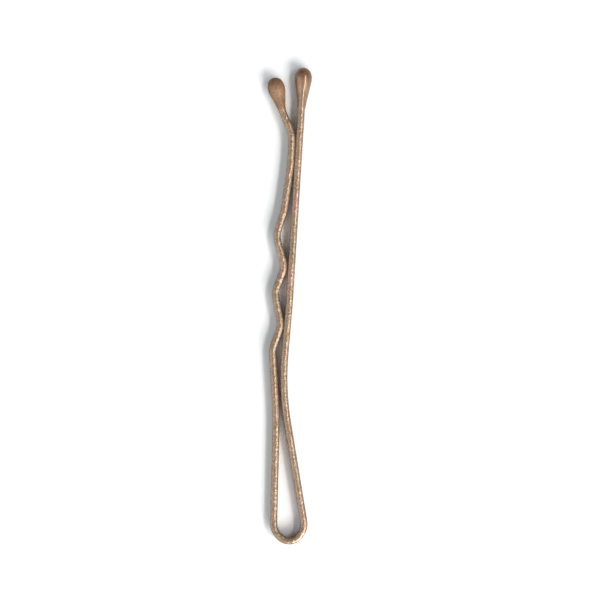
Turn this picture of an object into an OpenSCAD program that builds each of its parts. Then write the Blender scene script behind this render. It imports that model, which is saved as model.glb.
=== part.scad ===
// Bobby pin lying on its side: a spring wire folded into a bow, one straight leg,
// one crimped leg, and a dipped drop on each free end.
// X across the legs, Y from the bow to the free ends, Z up from the table.

/* [Overall] */
// length from the bottom of the bow to the top of the straight leg's drop
pin_length = 51; // [46:0.5:56]
// wire thickness, seen from above
wire_t = 0.75; // [0.65:0.05:0.8]
// wire width, standing up from the table
wire_w = 1.4; // [1.2:0.05:1.6]

/* [Bow] */
// outside width of the bow
bow_width = 4; // [3.8:0.1:4.3]
// height of the widest place of the bow
bow_y = 2.15; // [2.05:0.05:2.3]
// centreline radius at the very bottom of the bow
toe_r = 1.4; // [1.3:0.05:1.5]
// how far the bottom of the bow stands aside of its middle
toe_x = 0.03; // [0:0.01:0.08]
// where the sides of the eye flex, as a share of the way from the bow to the waist
flex_share = 0.375; // [0.3:0.025:0.45]
// play around the round end of a leg in its seat
flex_gap = 0.02; // [0.015:0.005:0.03]

/* [Straight leg] */
// centreline distance of the waist, where the eye closes, from the middle of the bow
waist_x = 0.53; // [0.4:0.01:0.6]
// radius of the bend at the waist, as a share of the eye's height
waist_bend = 1.92; // [1.7:0.02:2.1]
// lean of the leg just above the waist
waist_lean = 5; // [4.5:0.1:5.5]
// height above the waist at which the leg straightens slightly
set_rise = 7.8; // [7:0.2:9]
// radius of that straightening
set_r = 20; // [15:1:30]
// lean of the long upper stretch
leg_lean = 3.55; // [3:0.05:4]

/* [Crimps] */
// number of crests pressed against the straight leg
crimps = 2; // [1:1:2]
// spacing of the crests
crimp_pitch = 6.2; // [6:0.1:6.4]
// centreline radius of every crimp
crimp_r = 2.3; // [2:0.1:2.5]
// height above the waist of the first bend away, the knee
knee_rise = 2.7; // [2.4:0.1:3]
// distance the knee stands back from the crest line
knee_depth = 0.58; // [0.5:0.02:0.7]
// how much further each next trough stands back
crimp_growth = 0.2; // [0.1:0.02:0.25]
// where the crimped leg's side of the eye bends, as a share of the way from bow to waist
hip_share = 0.677; // [0.65:0.01:0.72]
// radius of that wide bend, as a share of the eye's height
hip_bend = 3.2; // [2.6:0.1:3.8]
// gap between the legs at the wide bend
hip_gap = 0.11; // [0.08:0.01:0.2]
// gap at the first crest
first_gap = 0.02; // [0.02:0.01:0.05]
// gap at the crests above it
upper_gap = 0.1; // [0.05:0.01:0.15]

/* [Open end] */
// how far the crimped leg's drop ends below the straight leg's
lead = 1.09; // [0.8:0.05:1.5]
// steepness of the climb out of the last trough
rise = 14; // [12:0.5:15]
// length of that climb
rise_run = 1.7; // [1.4:0.1:1.9]
// radius that eases the climb
shoulder_r = 6; // [5:0.5:8]
// slope left after the easing
ease = 4.3; // [3.8:0.1:5]
// radius that lays the wire along the straight leg
top_r = 20; // [15:1:25]
// gap where it lies along the straight leg
top_gap = 0.03; // [0.02:0.01:0.08]
// length that lies along the straight leg
lap_run = 1.35; // [0.8:0.05:1.5]
// radius of the lip that turns away
lip_r = 5; // [4:0.25:6]
// angle of the lip to the straight leg
flare = 29.5; // [28:0.5:31.5]
// straight length after the lip
flare_run = 0.6; // [0.4:0.1:0.8]
// turn back of the very end, under the drop
tip_turn = 11; // [8:1:14]
// radius of that turn
tip_turn_r = 4; // [3:0.5:6]

/* [Drops] */
// diameter of a drop
tip_d = 1.85; // [1.8:0.05:2.1]
// radius of its nose
nose_r = 0.85; // [0.8:0.01:0.88]
// radius from the nose to the widest place
cheek_r = 1.4; // [1.3:0.05:1.6]
// radius from the widest place toward the taper
side_r = 2.5; // [2:0.25:3.5]
// radius at which the taper runs out on the wire
end_r = 0.9; // [0.5:0.1:1.5]
// length from the widest place to the tail
tail = 3.3; // [3:0.05:3.6]
// length from the widest place to the tail on the crimped leg, where less lacquer ran down
short_tail = 2.45; // [2.3:0.05:2.6]
// thickness of the film around the wire at the tail
film = 0.05; // [0.04:0.01:0.08]
// material left in front of the wire
cover = 0.95; // [0.85:0.05:1.05]
// bond line between wire and drop
bond = 0.01; // [0.01:0.005:0.02]

/* [Hidden] */
$fn = 96;
// size of the blocks that cut a half space
far = 150;
// share of the film in which the tail of the drop runs out
feather = 0.4;
// angle between points on the arcs of the drop's outline
arc_step = 4;
// ways of splitting a turn that are compared
splits = 2000;
// colours
lacquer = [0.56, 0.45, 0.37];
resin = [0.5, 0.38, 0.29];

// which piece to draw

// A path is a row of pegs [x, y, radius] that the wire passes: a peg on the wire's left has
// a positive radius, one on its right a negative one. Radius 0 is a point on the wire.
function dir(a) = [cos(a), sin(a)];
function side_of(a) = [-sin(a), cos(a)];
function place(peg) = [peg[0], peg[1]];
function span(a, b) = norm(place(b) - place(a));
function heading(a, b) = atan2(b[1] - a[1], b[0] - a[0]) - asin((b[2] - a[2]) / span(a, b));
function straight(a, b) = sqrt(pow(span(a, b), 2) - pow(b[2] - a[2], 2));
function wrap(a) = a - 360 * round(a / 360);
// Rows [length, radius, turn] between the first and the last peg, leaving at angle out
function rows(pegs, out) = [
    for (i = [0 : len(pegs) - 2])
        [
            straight(pegs[i], pegs[i + 1]),
            abs(pegs[i + 1][2]),
            pegs[i + 1][2] == 0 ? 0 : wrap(after(pegs, i + 1, out) - heading(pegs[i], pegs[i + 1]))
        ]
];
function after(pegs, i, out) = i + 1 < len(pegs) ? heading(pegs[i], pegs[i + 1]) : out;
// The point at height y on the straight between two pegs, with its heading
function on_line(a, b, y) =
    let (h = heading(a, b), p = place(a) - a[2] * side_of(h))
    [p[0] + (y - p[1]) / tan(h), y, 0, h];
// Position and heading [x, y, 0, heading] at the end of a run
function finish(pose, list, i = 0) =
    i == len(list) ? pose : finish(advance(pose, list[i]), list, i + 1);
function advance(pose, row) =
    let (
        h = pose[3],
        r = sign(row[2]) * row[1],
        centre = place(pose) + row[0] * dir(h) + r * side_of(h),
        p = centre - r * side_of(h + row[2])
    )
    [p[0], p[1], 0, h + row[2]];

// A turn is kept as a sine and a cosine of six digits, which stretch what it carries by a hair,
// so that neighbouring lengths of wire would miss each other. Each turn is therefore made in
// two steps whose stretches cancel.
function six_digits(x) =
    let (unit = x == 0 ? 1 : pow(10, floor(log(abs(x))) - 5))
    unit * round(x / unit);
function stretch(a) = norm([six_digits(cos(a)), six_digits(sin(a))]) - 1;
function even_split(a) =
    let (
        firsts = [for (i = [1 : splits]) a * i / splits],
        errors = [for (f = firsts) abs(stretch(f) + stretch(a - f))],
        least = min(errors)
    )
    [for (i = [0 : splits - 1]) if (errors[i] == least) firsts[i]][0];

// drop: nose, cheek and side are tangent arcs, and a taper runs out on the wire
tip_r = tip_d / 2;
nose_rise = sqrt(pow(cheek_r - nose_r, 2) - pow(cheek_r - tip_r, 2));
head = nose_rise + nose_r;
tail_r = wire_t / 2 + feather * film;
nose_a = asin(nose_rise / (cheek_r - nose_r));
function taper(run) =
    let (across = side_r + end_r - (tip_r - tail_r))
    atan2(run, across) - acos((side_r + end_r) / norm([across, run]));
function arc(x, y, r, from, to) =
    let (steps = ceil(abs(to - from) / arc_step))
    [for (i = [0 : steps]) [x, y] + r * dir(from + (to - from) * i / steps)];
// A list without its first point, which the arc before it already gave
function tail_of(list) = [for (i = [1 : len(list) - 1]) list[i]];
function drop_outline(run) =
    let (a = taper(run))
    concat(
        [[0, -run]],
        arc(tail_r + end_r, -run, end_r, 180, 180 - a),
        arc(tip_r - side_r, 0, side_r, -a, 0),
        tail_of(arc(tip_r - cheek_r, 0, cheek_r, 0, nose_a)),
        tail_of(arc(0, nose_rise, nose_r, nose_a, 90))
    );
// Straight end of the crimped leg, up to its drop's tail
tip_run = short_tail + head - cover;
// Height of a drop's top over the end of its wire, which points along angle h
function top_over_end(h) = nose_r + (cover - nose_r) * sin(h);

// From the last trough up: the crimped leg is laid out downward from its drop
leg_h = 90 - leg_lean;
waist_h = 90 - waist_lean;
function trough_off(i) = wire_t + first_gap + knee_depth + i * crimp_growth;
function crest_off(i) = wire_t + (i == 0 ? first_gap : upper_gap);
// what is left to approach after the easing, and the straight that does it
ease_off = trough_off(crimps) - crimp_r * (1 - cos(rise)) - rise_run * sin(rise)
    - shoulder_r * (cos(ease) - cos(rise));
ease_run = (ease_off - wire_t - top_gap - top_r * (1 - cos(ease))) / sin(ease);
rows_top = [
    [rise_run, shoulder_r, rise - ease],
    [ease_run, top_r, ease],
    [lap_run, lip_r, flare],
    [flare_run, tip_turn_r, -tip_turn],
    [tip_run, 0, 0]
];
rise_h = leg_h - rise;
climb = finish([0, 0, 0, rise_h], rows_top);
last_y = pin_length - lead - top_over_end(climb[3]) - climb[1] - crimp_r * cos(rise_h);
knee_y = last_y - crimps * crimp_pitch;
waist_y = knee_y - knee_rise;
eye = waist_y - bow_y;
waist_r = waist_bend * eye;
hip_r = hip_bend * eye;
set_y = waist_y + set_rise;
hip_y = bow_y + hip_share * eye;
flex_y = bow_y + flex_share * eye;

// bow
bow_r = (bow_width - wire_t) / 2;
bow_peg = [0, bow_y, bow_r];
bow_back = [0, bow_y, -bow_r];
toe_peg = [toe_x, wire_t / 2 + toe_r, toe_r];

// straight leg
waist_peg = [waist_r - waist_x, waist_y, -waist_r];
flex_s = on_line(bow_peg, waist_peg, flex_y);
waist_end = place(waist_peg) + waist_r * side_of(waist_h);
set_x = waist_end[0] + (set_y - waist_end[1]) / tan(waist_h);
set_run = norm([set_x, set_y] - waist_end);
set_cut = set_r * tan((waist_lean - leg_lean) / 2);
end_y = pin_length - top_over_end(leg_h);
leg_run = (end_y - set_y) / sin(leg_h);
rows_s = [
    [straight(flex_s, waist_peg), waist_r, waist_h - flex_s[3]],
    [set_run - set_cut, set_r, leg_h - waist_h],
    [leg_run - set_cut, 0, 0]
];
end_s = finish(flex_s, rows_s);

// Centre of a bend standing off the straight leg's centreline, square to it, at height y
function leg_x(y) = y < set_y
    ? set_x + (y - set_y) / tan(waist_h)
    : set_x + (y - set_y) / tan(leg_h);
function lean_at(y) = y < set_y ? waist_lean : leg_lean;
function off_leg(y, off) = leg_x(y) - off / cos(lean_at(y));

// crimped leg
hip_peg = [-waist_x - wire_t - hip_gap - hip_r, hip_y, hip_r];
flex_c = on_line(bow_back, hip_peg, flex_y);
function trough(i) =
    let (y = knee_y + i * crimp_pitch)
    [off_leg(y, trough_off(i) - crimp_r), y, -crimp_r];
function crest(i) =
    let (y = knee_y + (i + 0.5) * crimp_pitch)
    [off_leg(y, crest_off(i) + crimp_r), y, crimp_r];
crimp_pegs = [
    for (i = [0 : crimps - 1]) each [trough(i), crest(i)],
    trough(crimps)
];
rows_c = concat(rows(concat([flex_c, hip_peg], crimp_pegs), rise_h), rows_top);
end_c = finish(flex_c, rows_c);

// the bow's wire, from the crimped leg's flexure round to the straight leg's
start_b = [flex_c[0], flex_c[1], 0, flex_c[3] - 180];
rows_b = rows([flex_c, bow_peg, toe_peg, bow_peg, flex_s], flex_s[3]);

// The whole pin is centred over its outline and stands on its drops
function drop_x(pose) = pose[0] + (cover - head) * cos(pose[3]);
function drop_reach(pose) = cheek_r - (cheek_r - tip_r) * sin(pose[3]);
left_x = min(drop_x(end_c) - drop_reach(end_c), -bow_width / 2);
right_x = drop_x(end_s) + drop_reach(end_s);

// Put children into the pin's frame
module placed() {
    translate([-(left_x + right_x) / 2, -pin_length / 2, tip_r]) children();
}
// Put children at a pose of the path, looking along +Y
module at(pose) {
    translate([pose[0], pose[1], 0]) rotate([0, 0, pose[3] - 90]) children();
}
// Flat wire with round edges, grown by extra on every side
module section(extra = 0) {
    union() {
        square([wire_t + 2 * extra, wire_w - wire_t], center = true);
        for (s = [-1, 1]) {
            translate([0, s * (wire_w - wire_t) / 2]) circle(d = wire_t + 2 * extra);
        }
    }
}
module length_of_wire(run, extra = 0) {
    rotate([-90, 0, 0]) linear_extrude(height = run) section(extra);
}
// Move children round a bend: positive turns go to the left
module turn(r, a) {
    side = sign(a);
    first = even_split(a);
    translate([-side * r, 0, 0]) rotate([0, 0, a - first]) rotate([0, 0, first]) {
        translate([side * r, 0, 0]) children();
    }
}
// A ring of wire cut off square at both ends of the bend
module bend(r, a) {
    side = sign(a);
    intersection() {
        translate([-side * r, 0, 0]) rotate_extrude() translate([r, 0]) section();
        translate([-side * r - far / 2, 0, -far / 2]) cube([far, far, far]);
        turn(r, a) translate([-side * r - far / 2, -far, -far / 2]) cube([far, far, far]);
    }
}
// Wire along a list of rows
module wire(list, i = 0) {
    if (i < len(list)) {
        row = list[i];
        length_of_wire(row[0]);
        translate([0, row[0], 0]) {
            if (row[2] != 0) {
                bend(row[1], row[2]);
            }
            turn(row[1], row[2]) wire(list, i + 1);
        }
    }
}
// Put children at the far end of a list of rows
module follow(list, i = 0) {
    if (i < len(list)) {
        row = list[i];
        translate([0, row[0], 0]) turn(row[1], row[2]) follow(list, i + 1) children();
    } else {
        children();
    }
}
// The wire's section spun about the flexure's axis
module knuckle(extra = 0) {
    rotate([0, 0, 90]) rotate_extrude() intersection() {
        section(extra);
        translate([0, -far / 2]) square([far, far]);
    }
}
// A leg: a round end in the bow's seat, then the run of wire
module leg(pose, list) {
    placed() at(pose) union() {
        intersection() {
            knuckle();
            translate([-far / 2, -far, -far / 2]) cube([far, far, far]);
        }
        wire(list);
    }
}
// A dipped drop, open at the back for the end of the wire
module drop(run) {
    difference() {
        union() {
            translate([0, cover - head, 0]) rotate([-90, 0, 0]) rotate_extrude() {
                polygon(drop_outline(run));
            }
            translate([0, cover - head - run, 0]) length_of_wire(run, film);
        }
        translate([0, -far, 0]) length_of_wire(far + bond, bond);
    }
}

module bow() {
    color(lacquer) placed() difference() {
        at(start_b) wire(rows_b);
        at(flex_s) knuckle(flex_gap);
        at(flex_c) knuckle(flex_gap);
    }
}
module straight_leg() {
    color(lacquer) leg(flex_s, rows_s);
}
module crimped_leg() {
    color(lacquer) leg(flex_c, rows_c);
}
module straight_tip() {
    color(resin) placed() at(flex_s) follow(rows_s) drop(tail);
}
module crimped_tip() {
    color(resin) placed() at(flex_c) follow(rows_c) drop(short_tail);
}

bow();
straight_leg();
crimped_leg();
straight_tip();
crimped_tip();
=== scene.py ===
"""Bobby pin seen from above: lacquered spring wire with a dipped drop on each free end."""

import math

import bmesh
import bpy
import numpy as np
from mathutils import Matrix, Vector


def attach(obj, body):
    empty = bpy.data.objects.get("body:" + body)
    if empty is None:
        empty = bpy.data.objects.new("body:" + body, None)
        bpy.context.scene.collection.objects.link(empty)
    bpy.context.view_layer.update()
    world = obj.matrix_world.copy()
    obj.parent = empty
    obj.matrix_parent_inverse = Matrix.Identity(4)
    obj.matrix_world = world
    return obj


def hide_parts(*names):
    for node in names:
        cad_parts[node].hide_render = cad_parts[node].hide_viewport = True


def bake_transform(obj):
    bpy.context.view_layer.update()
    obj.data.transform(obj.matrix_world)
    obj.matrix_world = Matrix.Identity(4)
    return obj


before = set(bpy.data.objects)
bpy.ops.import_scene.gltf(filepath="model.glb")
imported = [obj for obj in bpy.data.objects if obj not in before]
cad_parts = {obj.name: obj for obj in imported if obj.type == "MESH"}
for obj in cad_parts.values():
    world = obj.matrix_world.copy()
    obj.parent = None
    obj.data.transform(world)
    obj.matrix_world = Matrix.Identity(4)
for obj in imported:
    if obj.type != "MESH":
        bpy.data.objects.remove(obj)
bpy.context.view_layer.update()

MM = 0.001

# ---------------------------------------------------------------- the wire's path, in mm
WIRE_T, WIRE_W = 0.75, 1.4  # thickness seen from above, width standing up from the table
MID_Z = 0.925  # height of the wire's middle
# where each leg starts in the bow and pivots: x, y and the leg's heading in degrees
FLEX_S = (0.586575, -17.4735, 99.3594)
FLEX_C = (-1.57914, -17.4735, 88.6539)
# rows of straight length, bend radius and turn in degrees, positive to the left
ROWS_S = [(4.96729, 30.0879, -14.3594), (4.94436, 20, 1.45), (24.2233, 0, 0)]
ROWS_C = [
    (3.55556, 50.1466, 4.70247),
    (4.69916, 2.3, -23.4483),
    (1.61826, 2.3, 31.2695),
    (2.25099, 2.3, -32.9497),
    (1.50085, 2.3, 37.6865),
    (1.91196, 2.3, -33.4644),
    (1.7, 6, 9.7),
    (3.63809, 20, 4.3),
    (1.35, 5, 29.5),
    (0.6, 4, -11),
    (2.62726, 0, 0),
]
ROWS_B = [
    (5.83999, 1.625, 42.6532),
    (0.301496, 1.4, 106.534),
    (0.301496, 1.625, 41.5186),
    (5.688, 0, 0),
]
STEP = 0.02  # fine step along the path
EASE = 0.22  # how far a bend's curvature runs out into the straights
EASE_SPAN = 4  # half width of the easing kernel, in EASE


def headings(start, rows):
    """Headings at every fine step along the rows, with soft ends to the bends, and the step."""
    places, angles = [0.0], [start]
    for run, r, turn in rows:
        for length, change in ((run, 0.0), (r * math.radians(abs(turn)), turn)):
            if length:
                places.append(places[-1] + length)
                angles.append(angles[-1] + change)
    count = round(places[-1] / STEP)
    ds = places[-1] / count
    reach = int(EASE_SPAN * EASE / ds)
    kernel = np.exp(-0.5 * (np.arange(-reach, reach + 1) * ds / EASE) ** 2)
    wide = np.interp(np.arange(-reach, count + reach + 1) * ds, places, angles)
    return np.radians(np.convolve(wide, kernel / kernel.sum(), mode="valid")), ds


def trace(start, rows):
    """Points, headings and curvature along the rows, from a start pose."""
    heading, ds = headings(start[2], rows)
    middle = (heading[1:] + heading[:-1]) / 2
    steps = np.stack([np.cos(middle), np.sin(middle)], 1) * ds
    points = np.array(start[:2]) + np.concatenate([[[0, 0]], np.cumsum(steps, 0)])
    return points, heading, np.abs(np.gradient(heading, ds))


def bow_path():
    """The bow from the crimped leg's start round to the straight leg's, closed on both."""
    points, heading, bend = trace((FLEX_C[0], FLEX_C[1], FLEX_C[2] - 180), ROWS_B)
    miss = np.array(FLEX_S[:2]) - points[-1]
    share = np.cumsum(bend)
    return points + np.outer(share / share[-1], miss), heading, bend


def tube(name, rings, mat, pole=None):
    """A closed mesh through rings of points in mm, from a flat end to a flat end or a pole."""
    n = len(rings[0])
    verts = [tuple(v) for v in np.concatenate(rings) * MM]
    faces = []
    for k in range(len(rings) - 1):
        for i in range(n):
            j = (i + 1) % n
            faces.append((k * n + i, k * n + j, (k + 1) * n + j, (k + 1) * n + i))
    last = (len(rings) - 1) * n
    flat = [tuple(reversed(range(n)))]
    if pole:
        verts.append(tuple(c * MM for c in pole))
        faces += [(last + i, last + (i + 1) % n, len(verts) - 1) for i in range(n)]
    else:
        flat.append(tuple(range(last, last + n)))
    mesh = bpy.data.meshes.new(name)
    mesh.from_pydata(verts, [], faces + flat)
    mesh.polygons.foreach_set("use_smooth", [True] * len(faces) + [False] * len(flat))
    obj = bpy.data.objects.new(name, mesh)
    bpy.context.scene.collection.objects.link(obj)
    shape = bmesh.new()
    shape.from_mesh(mesh)
    bmesh.ops.recalc_face_normals(shape, faces=shape.faces)
    shape.to_mesh(mesh)
    shape.free()
    mesh.materials.append(mat)
    return obj


# ---------------------------------------------------------------- materials
def fill(tree, target, inputs):
    """Give each input of a node its value, or link it to the socket that is given."""
    for key, value in inputs.items():
        if isinstance(value, bpy.types.NodeSocket):
            tree.links.new(value, target.inputs[key])
        else:
            target.inputs[key].default_value = value


def node(tree, kind, inputs=None, **props):
    """A new node with its properties and its inputs."""
    made = tree.nodes.new(kind)
    for key, value in props.items():
        setattr(made, key, value)
    fill(tree, made, inputs or {})
    return made


def material(name):
    """A new material, its node tree and its shader."""
    mat = bpy.data.materials.new(name)
    mat.use_nodes = True
    return mat, mat.node_tree, mat.node_tree.nodes["Principled BSDF"]


def ramp(tree, factor, stops):
    """The colour that the factor picks from stops of place and colour."""
    made = node(tree, "ShaderNodeValToRGB", {"Fac": factor})
    elements = made.color_ramp.elements
    while len(elements) > 1:
        elements.remove(elements[-1])
    elements[0].position, elements[0].color = stops[0][0], (*stops[0][1], 1)
    for place, colour in stops[1:]:
        elements.new(place).color = (*colour, 1)
    return made.outputs["Color"]


def noise(tree, where, scale, detail):
    """A value that drifts from place to place."""
    inputs = {"Vector": where, "Scale": scale, "Detail": detail}
    return node(tree, "ShaderNodeTexNoise", inputs).outputs["Fac"]


def flakes(tree, where, scale):
    """Small cells: the random colour of each, and two random values from it."""
    cells = node(tree, "ShaderNodeTexVoronoi", {"Vector": where, "Scale": scale, "Randomness": 1.0})
    pick = node(tree, "ShaderNodeSeparateColor", {"Color": cells.outputs["Color"]})
    return cells.outputs["Color"], pick.outputs[0], pick.outputs[1]


def multiplied(tree, a, b):
    """The product of two colours, whose sockets on the mix node go by number."""
    inputs = {"Factor": 1.0, 6: a, 7: b}
    made = node(tree, "ShaderNodeMix", inputs, data_type="RGBA", blend_type="MULTIPLY")
    return made.outputs[2]


def spread(tree, value, low, high):
    """A value from 0 to 1, spread from low to high."""
    inputs = {"Value": value, "To Min": low, "To Max": high}
    return node(tree, "ShaderNodeMapRange", inputs).outputs["Result"]


def bumped(tree, height, strength, distance):
    """The normal of the surface with the height's bumps on it."""
    inputs = {"Height": height, "Strength": strength, "Distance": distance}
    return node(tree, "ShaderNodeBump", inputs).outputs["Normal"]


def number(tree, operation, *inputs):
    """The result of arithmetic on numbers."""
    values = dict(enumerate(inputs))
    return node(tree, "ShaderNodeMath", values, operation=operation).outputs[0]


def vector(tree, operation, inputs, output="Vector"):
    """The result of arithmetic on vectors."""
    return node(tree, "ShaderNodeVectorMath", inputs, operation=operation).outputs[output]


def lacquer_material():
    """Metallic lacquer under a clear coat, with fine flakes and a slight orange peel."""
    mat, tree, shader = material("lacquer")
    where = node(tree, "ShaderNodeTexCoord").outputs["Object"]
    # slow drift of the tone along the wire
    tones = ramp(tree, noise(tree, where, scale=450.0, detail=3.0), [
        (0.3, (0.374, 0.252, 0.134)),
        (0.5, (0.424, 0.27, 0.155)),
        (0.7, (0.486, 0.286, 0.187)),
    ])
    # a few flakes are light and a few are dark, and each has its own roughness
    colour, first, second = flakes(tree, where, scale=9000.0)
    flake_tones = ramp(tree, first, [
        (0.0, (0.48, 0.45, 0.43)),
        (0.3, (0.92, 0.91, 0.9)),
        (0.8, (1.06, 1.05, 1.03)),
        (0.97, (1.7, 1.65, 1.6)),
    ])
    peel = bumped(
        tree, noise(tree, where, scale=4400.0, detail=2.0), strength=1.0, distance=0.00006
    )
    # flakes lie at small angles in the clear coat and glint one by one
    tilt = vector(tree, "SUBTRACT", {0: colour, 1: (0.5, 0.5, 0.5)})
    lean = vector(tree, "SCALE", {0: tilt, "Scale": 0.18})
    leaning = vector(tree, "ADD", {0: lean, 1: peel})
    fill(tree, shader, {
        "Base Color": multiplied(tree, tones, flake_tones),
        "Roughness": spread(tree, second, 0.36, 0.5),
        "Normal": peel,
        "Metallic": 0.55,
        "Coat Normal": vector(tree, "NORMALIZE", {0: leaning}),
        "Coat IOR": 1.9,
        "Coat Weight": 1.0,
        "Coat Roughness": 0.08,
    })
    return mat


NOSE_SHADE_FADE = 5  # distance from the nose, in mm, that a drop's ramp of tones stands for: the nose's redder resin and painted shade, paling to the body


def drop_material(name, nose, body, roughness, coat, metal):
    """Resin that is redder at the nose, a point in mm, and darker there with painted shade, and
    pales to its body's tone.
    """
    mat, tree, shader = material(name)
    where = node(tree, "ShaderNodeTexCoord").outputs["Object"]
    away = vector(tree, "DISTANCE", {0: where, 1: [c * MM for c in nose]}, "Value")
    share = node(tree, "ShaderNodeMapRange", {"Value": away, "From Max": NOSE_SHADE_FADE * MM})
    blotch = number(tree, "MULTIPLY_ADD", noise(tree, where, scale=900.0, detail=3.0), 0.3, -0.15)
    # the two nose stops are redder resin, darkened with painted shade where the nose slopes away
    # from the key lamp
    tones = ramp(tree, number(tree, "ADD", share.outputs["Result"], blotch), [
        (0.1, (0.33, 0.168, 0.082)),
        (0.24, (0.375, 0.217, 0.122)),
        (0.4, body),
    ])
    _, first, second = flakes(tree, where, scale=8500.0)
    flake_tones = ramp(tree, first, [
        (0.0, (0.8, 0.78, 0.75)),
        (0.5, (1, 1, 1)),
        (0.95, (1.25, 1.2, 1.15)),
    ])
    peel = noise(tree, where, scale=1800.0, detail=2.0)
    fill(tree, shader, {
        "Base Color": multiplied(tree, tones, flake_tones),
        "Roughness": spread(tree, second, roughness - 0.05, roughness + 0.08),
        "Normal": bumped(tree, peel, strength=0.6, distance=0.000025),
        "Metallic": metal,
        "Coat Weight": coat,
        "Coat Roughness": 0.1,
        "Coat IOR": 1.8,
    })
    return mat


# ---------------------------------------------------------------- the two wires, in mm
CROWN_R, CORNER_R = 0.5, 0.2  # the rolled wire's edge, flatter on top than at its corners
ARC_POINTS, SIDE_POINTS = 9, 5
RING_TURN = math.radians(4)  # the next ring comes after this much turn
RING_GAP = 0.3  # or after this much length
HAIR = 0.005  # a ring this close to the bow's toe lets the shading run on across it


def wire_section():
    """The wire's outline (across, up), anticlockwise from the middle of its right side."""
    a = WIRE_T / 2
    top = WIRE_W / 2
    lift = math.sqrt((CROWN_R - CORNER_R) ** 2 - (a - CORNER_R) ** 2)
    corner_z = top - CROWN_R + lift
    split = math.asin((a - CORNER_R) / (CROWN_R - CORNER_R))
    side = [(a, z) for z in np.linspace(0, corner_z, SIDE_POINTS)[:-1]]
    corner = [
        (a - CORNER_R + CORNER_R * math.sin(t), corner_z + CORNER_R * math.cos(t))
        for t in np.linspace(math.pi / 2, split, ARC_POINTS)
    ]
    crown = [
        (CROWN_R * math.sin(t), top - CROWN_R + CROWN_R * math.cos(t))
        for t in np.linspace(split, 0, ARC_POINTS)[1:]
    ]
    right_top = side + corner + crown
    upper = right_top + [(-x, z) for x, z in reversed(right_top[:-1])]
    lower = [(-x, -z) for x, z in upper[1:-1]]
    return np.array(upper + lower)


SECTION = wire_section()


def ring_at(point, heading):
    """A ring of the section square to the heading; across points to the right of travel."""
    right = np.array([math.sin(heading), -math.cos(heading)])
    xy = point + np.outer(SECTION[:, 0], right)
    return np.column_stack([xy, MID_Z + SECTION[:, 1]])


def ring_places(bend):
    """Indices of the path's steps that get a ring: closer together where it bends."""
    picks, last = [0], 0
    for i in range(1, len(bend)):
        gap = (i - last) * STEP
        if gap * bend[i] >= RING_TURN or gap >= RING_GAP:
            picks.append(i)
            last = i
    if picks[-1] != len(bend) - 1:
        picks.append(len(bend) - 1)
    return picks


def half_wire(name, bow_part, leg, mat):
    """One closed wire from the toe of the bow to the free end of a leg."""
    points, heading, bend = [np.concatenate([a, b[1:]]) for a, b in zip(bow_part, leg)]
    picks = ring_places(bend)
    if picks[1] != 1:
        picks.insert(1, 1)
    rings = [ring_at(points[i], heading[i]) for i in picks]
    near_toe = points[0] + (points[1] - points[0]) * HAIR / STEP
    rings.insert(1, ring_at(near_toe, heading[0]))
    return tube(name, rings, mat)


bow_points, bow_heading, bow_bend = bow_path()
toe = int(np.argmin(bow_points[:, 1]))
to_straight = (bow_points[toe:], bow_heading[toe:], bow_bend[toe:])
to_crimped = (
    bow_points[: toe + 1][::-1],
    bow_heading[: toe + 1][::-1] + math.pi,
    bow_bend[: toe + 1][::-1],
)
leg_s = trace(FLEX_S, ROWS_S)
leg_c = trace(FLEX_C, ROWS_C)
lacquer = lacquer_material()
straight_wire = half_wire("straight_wire", to_straight, leg_s, lacquer)
crimped_wire = half_wire("crimped_wire", to_crimped, leg_c, lacquer)

# ---------------------------------------------------------------- the drops, in mm
# radii of the drop's outline: widest place, nose, cheek, side, and the end of the tail
TIP_R, NOSE_R, CHEEK_R, SIDE_R, END_R = 0.925, 0.85, 1.4, 2.5, 0.9
COVER = 0.95  # how far the drop reaches past the end of its wire
NOSE_RISE = math.sqrt((CHEEK_R - NOSE_R) ** 2 - (CHEEK_R - TIP_R) ** 2)
HEAD = NOSE_RISE + NOSE_R  # from the widest place to the pole
TAIL_R = WIRE_T / 2 + 0.02  # a little over the wire's
TAIL, SHORT_TAIL = 3.3, 2.45  # from the widest place down to the foot
SLIM = 0.997  # keeps the round drop inside the facets of its solid
FILM, SUNK, FEATHER = 0.046, 0.004, 0.12  # the resin on the wire, and how its foot feathers out
WIRE_FADE = (-0.35, 0.9)  # where the wire starts to end inside the drop, and over what height
BLEND, BLEND_RISE = 0.1, 0.5  # rounding between wire and drop, and the height where it is full
AROUND = 64
COLLAR = (-0.02, 0.0, 0.02, 0.05, 0.1, 0.18, 0.28, 0.4)  # heights of the first rings, over the foot
NECK_FROM, NECK_RINGS = 0.55, 13  # over the foot
NECK_TO, SHOULDER_FROM, SHOULDER_RINGS = -0.25, -0.12, 5  # over the widest place
NOSE_RINGS = 17


def drop_radius(u, run):
    """Radius of the drop at height u over its widest place, without the wire's edges."""
    across = SIDE_R + END_R - (TIP_R - TAIL_R)
    slope = math.atan2(run, across) - math.acos((SIDE_R + END_R) / math.hypot(across, run))
    nose = math.asin(NOSE_RISE / (CHEEK_R - NOSE_R))
    if u < -run:
        return TAIL_R
    if u < -run + END_R * math.sin(slope):
        return TAIL_R + END_R - math.sqrt(END_R ** 2 - (u + run) ** 2)
    if u < -SIDE_R * math.sin(slope):
        start = TIP_R - SIDE_R * (1 - math.cos(slope))
        return start + (u + SIDE_R * math.sin(slope)) * math.tan(slope)
    if u < 0:
        return TIP_R - SIDE_R + math.sqrt(SIDE_R ** 2 - u * u)
    if u < CHEEK_R * math.sin(nose):
        return TIP_R - CHEEK_R + math.sqrt(CHEEK_R ** 2 - u * u)
    return math.sqrt(NOSE_R ** 2 - (u - NOSE_RISE) ** 2)


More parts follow.
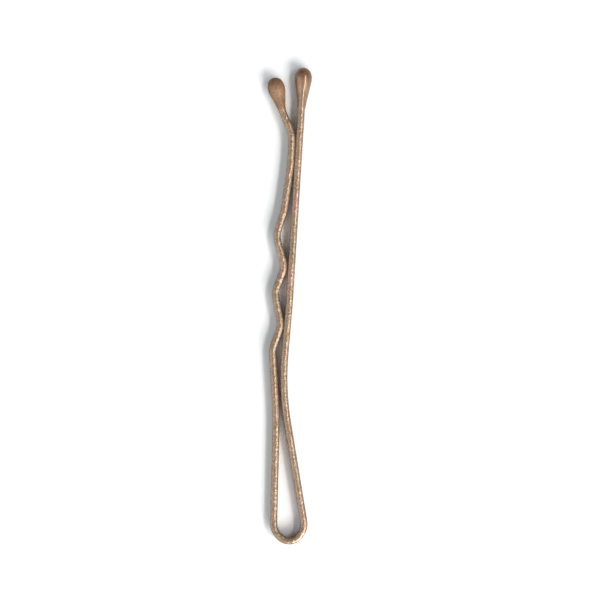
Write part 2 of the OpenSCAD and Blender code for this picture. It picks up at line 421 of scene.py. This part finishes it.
def section_radius(angles, extra):
    """Distance to the wire's surface, grown by extra, in each direction from its middle."""
    flat = (WIRE_W - WIRE_T) / 2
    r = WIRE_T / 2 + extra
    out = []
    for t in angles:
        c, s = abs(math.cos(t)), abs(math.sin(t))
        if r * s <= flat * c:
            out.append(r / c)
        else:
            b = s * flat
            out.append(b + math.sqrt(b * b - flat * flat + r * r))
    return np.array(out)


def smooth(t):
    """0 to 1 with soft ends."""
    t = np.clip(t, 0, 1)
    return float(t * t * (3 - 2 * t))


def soft_max(a, b, k):
    """The larger of the two, rounded over k where they meet."""
    h = np.clip(0.5 + (a - b) / (2 * k), 0, 1)
    return b + (a - b) * h + k * h * (1 - h)


def ring_heights(run):
    """Heights of a drop's rings over its widest place: collar, neck, shoulder and nose."""
    collar = [h - run for h in COLLAR]
    neck = list(np.linspace(NECK_FROM - run, NECK_TO, NECK_RINGS))
    shoulder = list(np.linspace(SHOULDER_FROM, NOSE_RISE, SHOULDER_RINGS))
    turns = np.linspace(0, math.pi / 2, NOSE_RINGS + 2)[1:-1]
    return collar + neck + shoulder + [NOSE_RISE + NOSE_R * math.sin(t) for t in turns]


def drop(name, leg, run, mat):
    """A dipped drop lofted along the end of its wire, from a feathered collar to the nose."""
    end, heading = leg[0][-1], leg[1][-1]
    along = np.array([math.cos(heading), math.sin(heading)])
    right = np.array([along[1], -along[0]])
    widest = end + (COVER - HEAD) * along
    angles = np.arange(AROUND) * 2 * math.pi / AROUND
    rings = []
    for u in ring_heights(run):
        radii = np.full(AROUND, SLIM * drop_radius(u, run))
        if u < 0:
            film = (FILM + SUNK) * smooth((u + run) / FEATHER) - SUNK
            shell = section_radius(angles, film)
            fade = smooth((u - WIRE_FADE[0]) / WIRE_FADE[1])
            shell = shell * (1 - fade) + np.minimum(shell, radii) * fade
            radii = soft_max(radii, shell, BLEND * smooth((u + run) / BLEND_RISE) + 1e-4)
        xy = widest + u * along + np.outer(radii * np.cos(angles), right)
        rings.append(np.column_stack([xy, MID_Z + radii * np.sin(angles)]))
    pole = widest + HEAD * along
    return tube(name, rings, mat, pole=(pole[0], pole[1], MID_Z))


def nose_shade_point(leg, ahead=0.4, up=0.6):
    """A point high on the nose of the drop that covers the leg's end: the middle of its redder
    resin and painted shade.
    """
    x, y = leg[0][-1] + ahead * np.array([math.cos(leg[1][-1]), math.sin(leg[1][-1])])
    return x, y, MID_Z + up


resin = drop_material(
    "resin", nose_shade_point(leg_s), body=(0.425, 0.275, 0.168), roughness=0.36, coat=0.8, metal=0.35
)
resin_matt = drop_material(
    "resin_matt", nose_shade_point(leg_c), body=(0.37, 0.204, 0.112), roughness=0.56, coat=0.12, metal=0.15
)
straight_drop = drop("straight_drop", leg_s, TAIL, resin)
crimped_drop = drop("crimped_drop", leg_c, SHORT_TAIL, resin_matt)

# ---------------------------------------------------------------- on the frame
for piece, leg_body, pivot in (
    (straight_wire, "straight_leg", FLEX_S),
    (crimped_wire, "crimped_leg", FLEX_C),
):
    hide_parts(leg_body, "bow")
    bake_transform(piece)
for piece, body, cad_node in (
    (straight_drop, "straight_leg", "straight_tip"),
    (crimped_drop, "crimped_leg", "crimped_tip"),
):
    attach(piece, body)
    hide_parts(cad_node)

# ---------------------------------------------------------------- the stage
PAPER = 0.5  # the floor's grey for all light but the camera's
WHITE = (1.0, 0.17)  # the greys that add up where the camera sees it
FLOOR_SIZE = 8  # metres
# the pin rests on its drops and on the bow's edge, so the floor leans a little in this frame
REST_DROP, REST_BOW = (24.4, 0.0), (-25.3, MID_Z - WIRE_W / 2)  # y and z in mm


def diffuse(tree, grey):
    """Matt paint of one grey."""
    return node(tree, "ShaderNodeBsdfDiffuse", {"Color": (grey, grey, grey, 1)}).outputs[0]


def floor_material():
    """Paper that is white to the camera and grey to all other light."""
    mat, tree, shader = material("floor")
    tree.nodes.remove(shader)
    seen = node(tree, "ShaderNodeAddShader", dict(enumerate(diffuse(tree, g) for g in WHITE)))
    by_camera = node(tree, "ShaderNodeLightPath").outputs["Is Camera Ray"]
    mix_inputs = {0: by_camera, 1: diffuse(tree, PAPER), 2: seen.outputs[0]}
    mix = node(tree, "ShaderNodeMixShader", mix_inputs)
    fill(tree, tree.nodes["Material Output"], {"Surface": mix.outputs[0]})
    return mat


floor_lean = math.atan2(REST_BOW[1] - REST_DROP[1], REST_DROP[0] - REST_BOW[0])
bpy.ops.mesh.primitive_plane_add(
    size=FLOOR_SIZE, location=(0, REST_DROP[0] * MM, 0), rotation=(-floor_lean, 0, 0)
)
floor = bpy.context.object
floor.name = "floor"
floor.data.materials.append(floor_material())


def direction(azimuth, elevation):
    """The unit vector towards an azimuth and elevation in degrees."""
    turn, rise = math.radians(azimuth), math.radians(elevation)
    flat = Vector((math.cos(turn), math.sin(turn), 0))
    return flat * math.cos(rise) + Vector((0, 0, math.sin(rise)))


# the room's light: a broad pale wall at the front left, little from elsewhere
WALL_FROM = direction(azimuth=212, elevation=25)
WALL = [(0.0, 0.08), (0.52, 0.1), (0.82, 0.92), (1.0, 0.96)]  # cosine to the wall, and grey
world = bpy.data.worlds.new("studio")
bpy.context.scene.world = world
world.use_nodes = True
sky = world.node_tree
towards = node(sky, "ShaderNodeTexCoord").outputs["Generated"]
facing = vector(sky, "DOT_PRODUCT", {0: towards, 1: WALL_FROM}, "Value")
level = ramp(sky, facing, [(place, (0.95 * grey, grey, 1.03 * grey)) for place, grey in WALL])
fill(sky, sky.nodes["Background"], {"Color": level, "Strength": 1.0})

LAMP_DISTANCE = 2.0  # metres, which is far off for a pin


def softbox(name, azimuth, elevation, spread, share):
    """A far lamp: its half angles sideways and upward, and how white it alone makes a floor."""
    data = bpy.data.lights.new(name, "AREA")
    data.shape = "ELLIPSE"
    data.size, data.size_y = [2 * LAMP_DISTANCE * math.tan(math.radians(t)) for t in spread]
    falling = math.sin(math.radians(elevation))
    data.energy = share * math.pi ** 2 * LAMP_DISTANCE ** 2 / falling
    lamp = bpy.data.objects.new(name, data)
    bpy.context.scene.collection.objects.link(lamp)
    towards_lamp = direction(azimuth, elevation)
    lamp.location = towards_lamp * LAMP_DISTANCE
    lamp.rotation_euler = towards_lamp.to_track_quat("Z", "Y").to_euler()


softbox("key", azimuth=-51, elevation=37, spread=(24, 14), share=0.58)
# a narrow one for the fine highlight along the wire
softbox("strip", azimuth=-3, elevation=59.5, spread=(23, 4.5), share=0.24)

FRAME_MM = 64.205  # width of the photograph's frame at the height of the wire's middle
VIEW_X, VIEW_Y = 1.099, 0.642  # the frame's middle, in mm
camera_data = bpy.data.cameras.new("camera")
camera_data.lens = 200
camera_data.sensor_width = 36
camera_data.clip_start, camera_data.clip_end = 0.01, 20
camera = bpy.data.objects.new("camera", camera_data)
bpy.context.scene.collection.objects.link(camera)
camera_height = FRAME_MM * camera_data.lens / camera_data.sensor_width
camera.location = (VIEW_X * MM, VIEW_Y * MM, (MID_Z + camera_height) * MM)
bpy.context.scene.camera = camera
bpy.context.scene.view_settings.view_transform = "Standard"
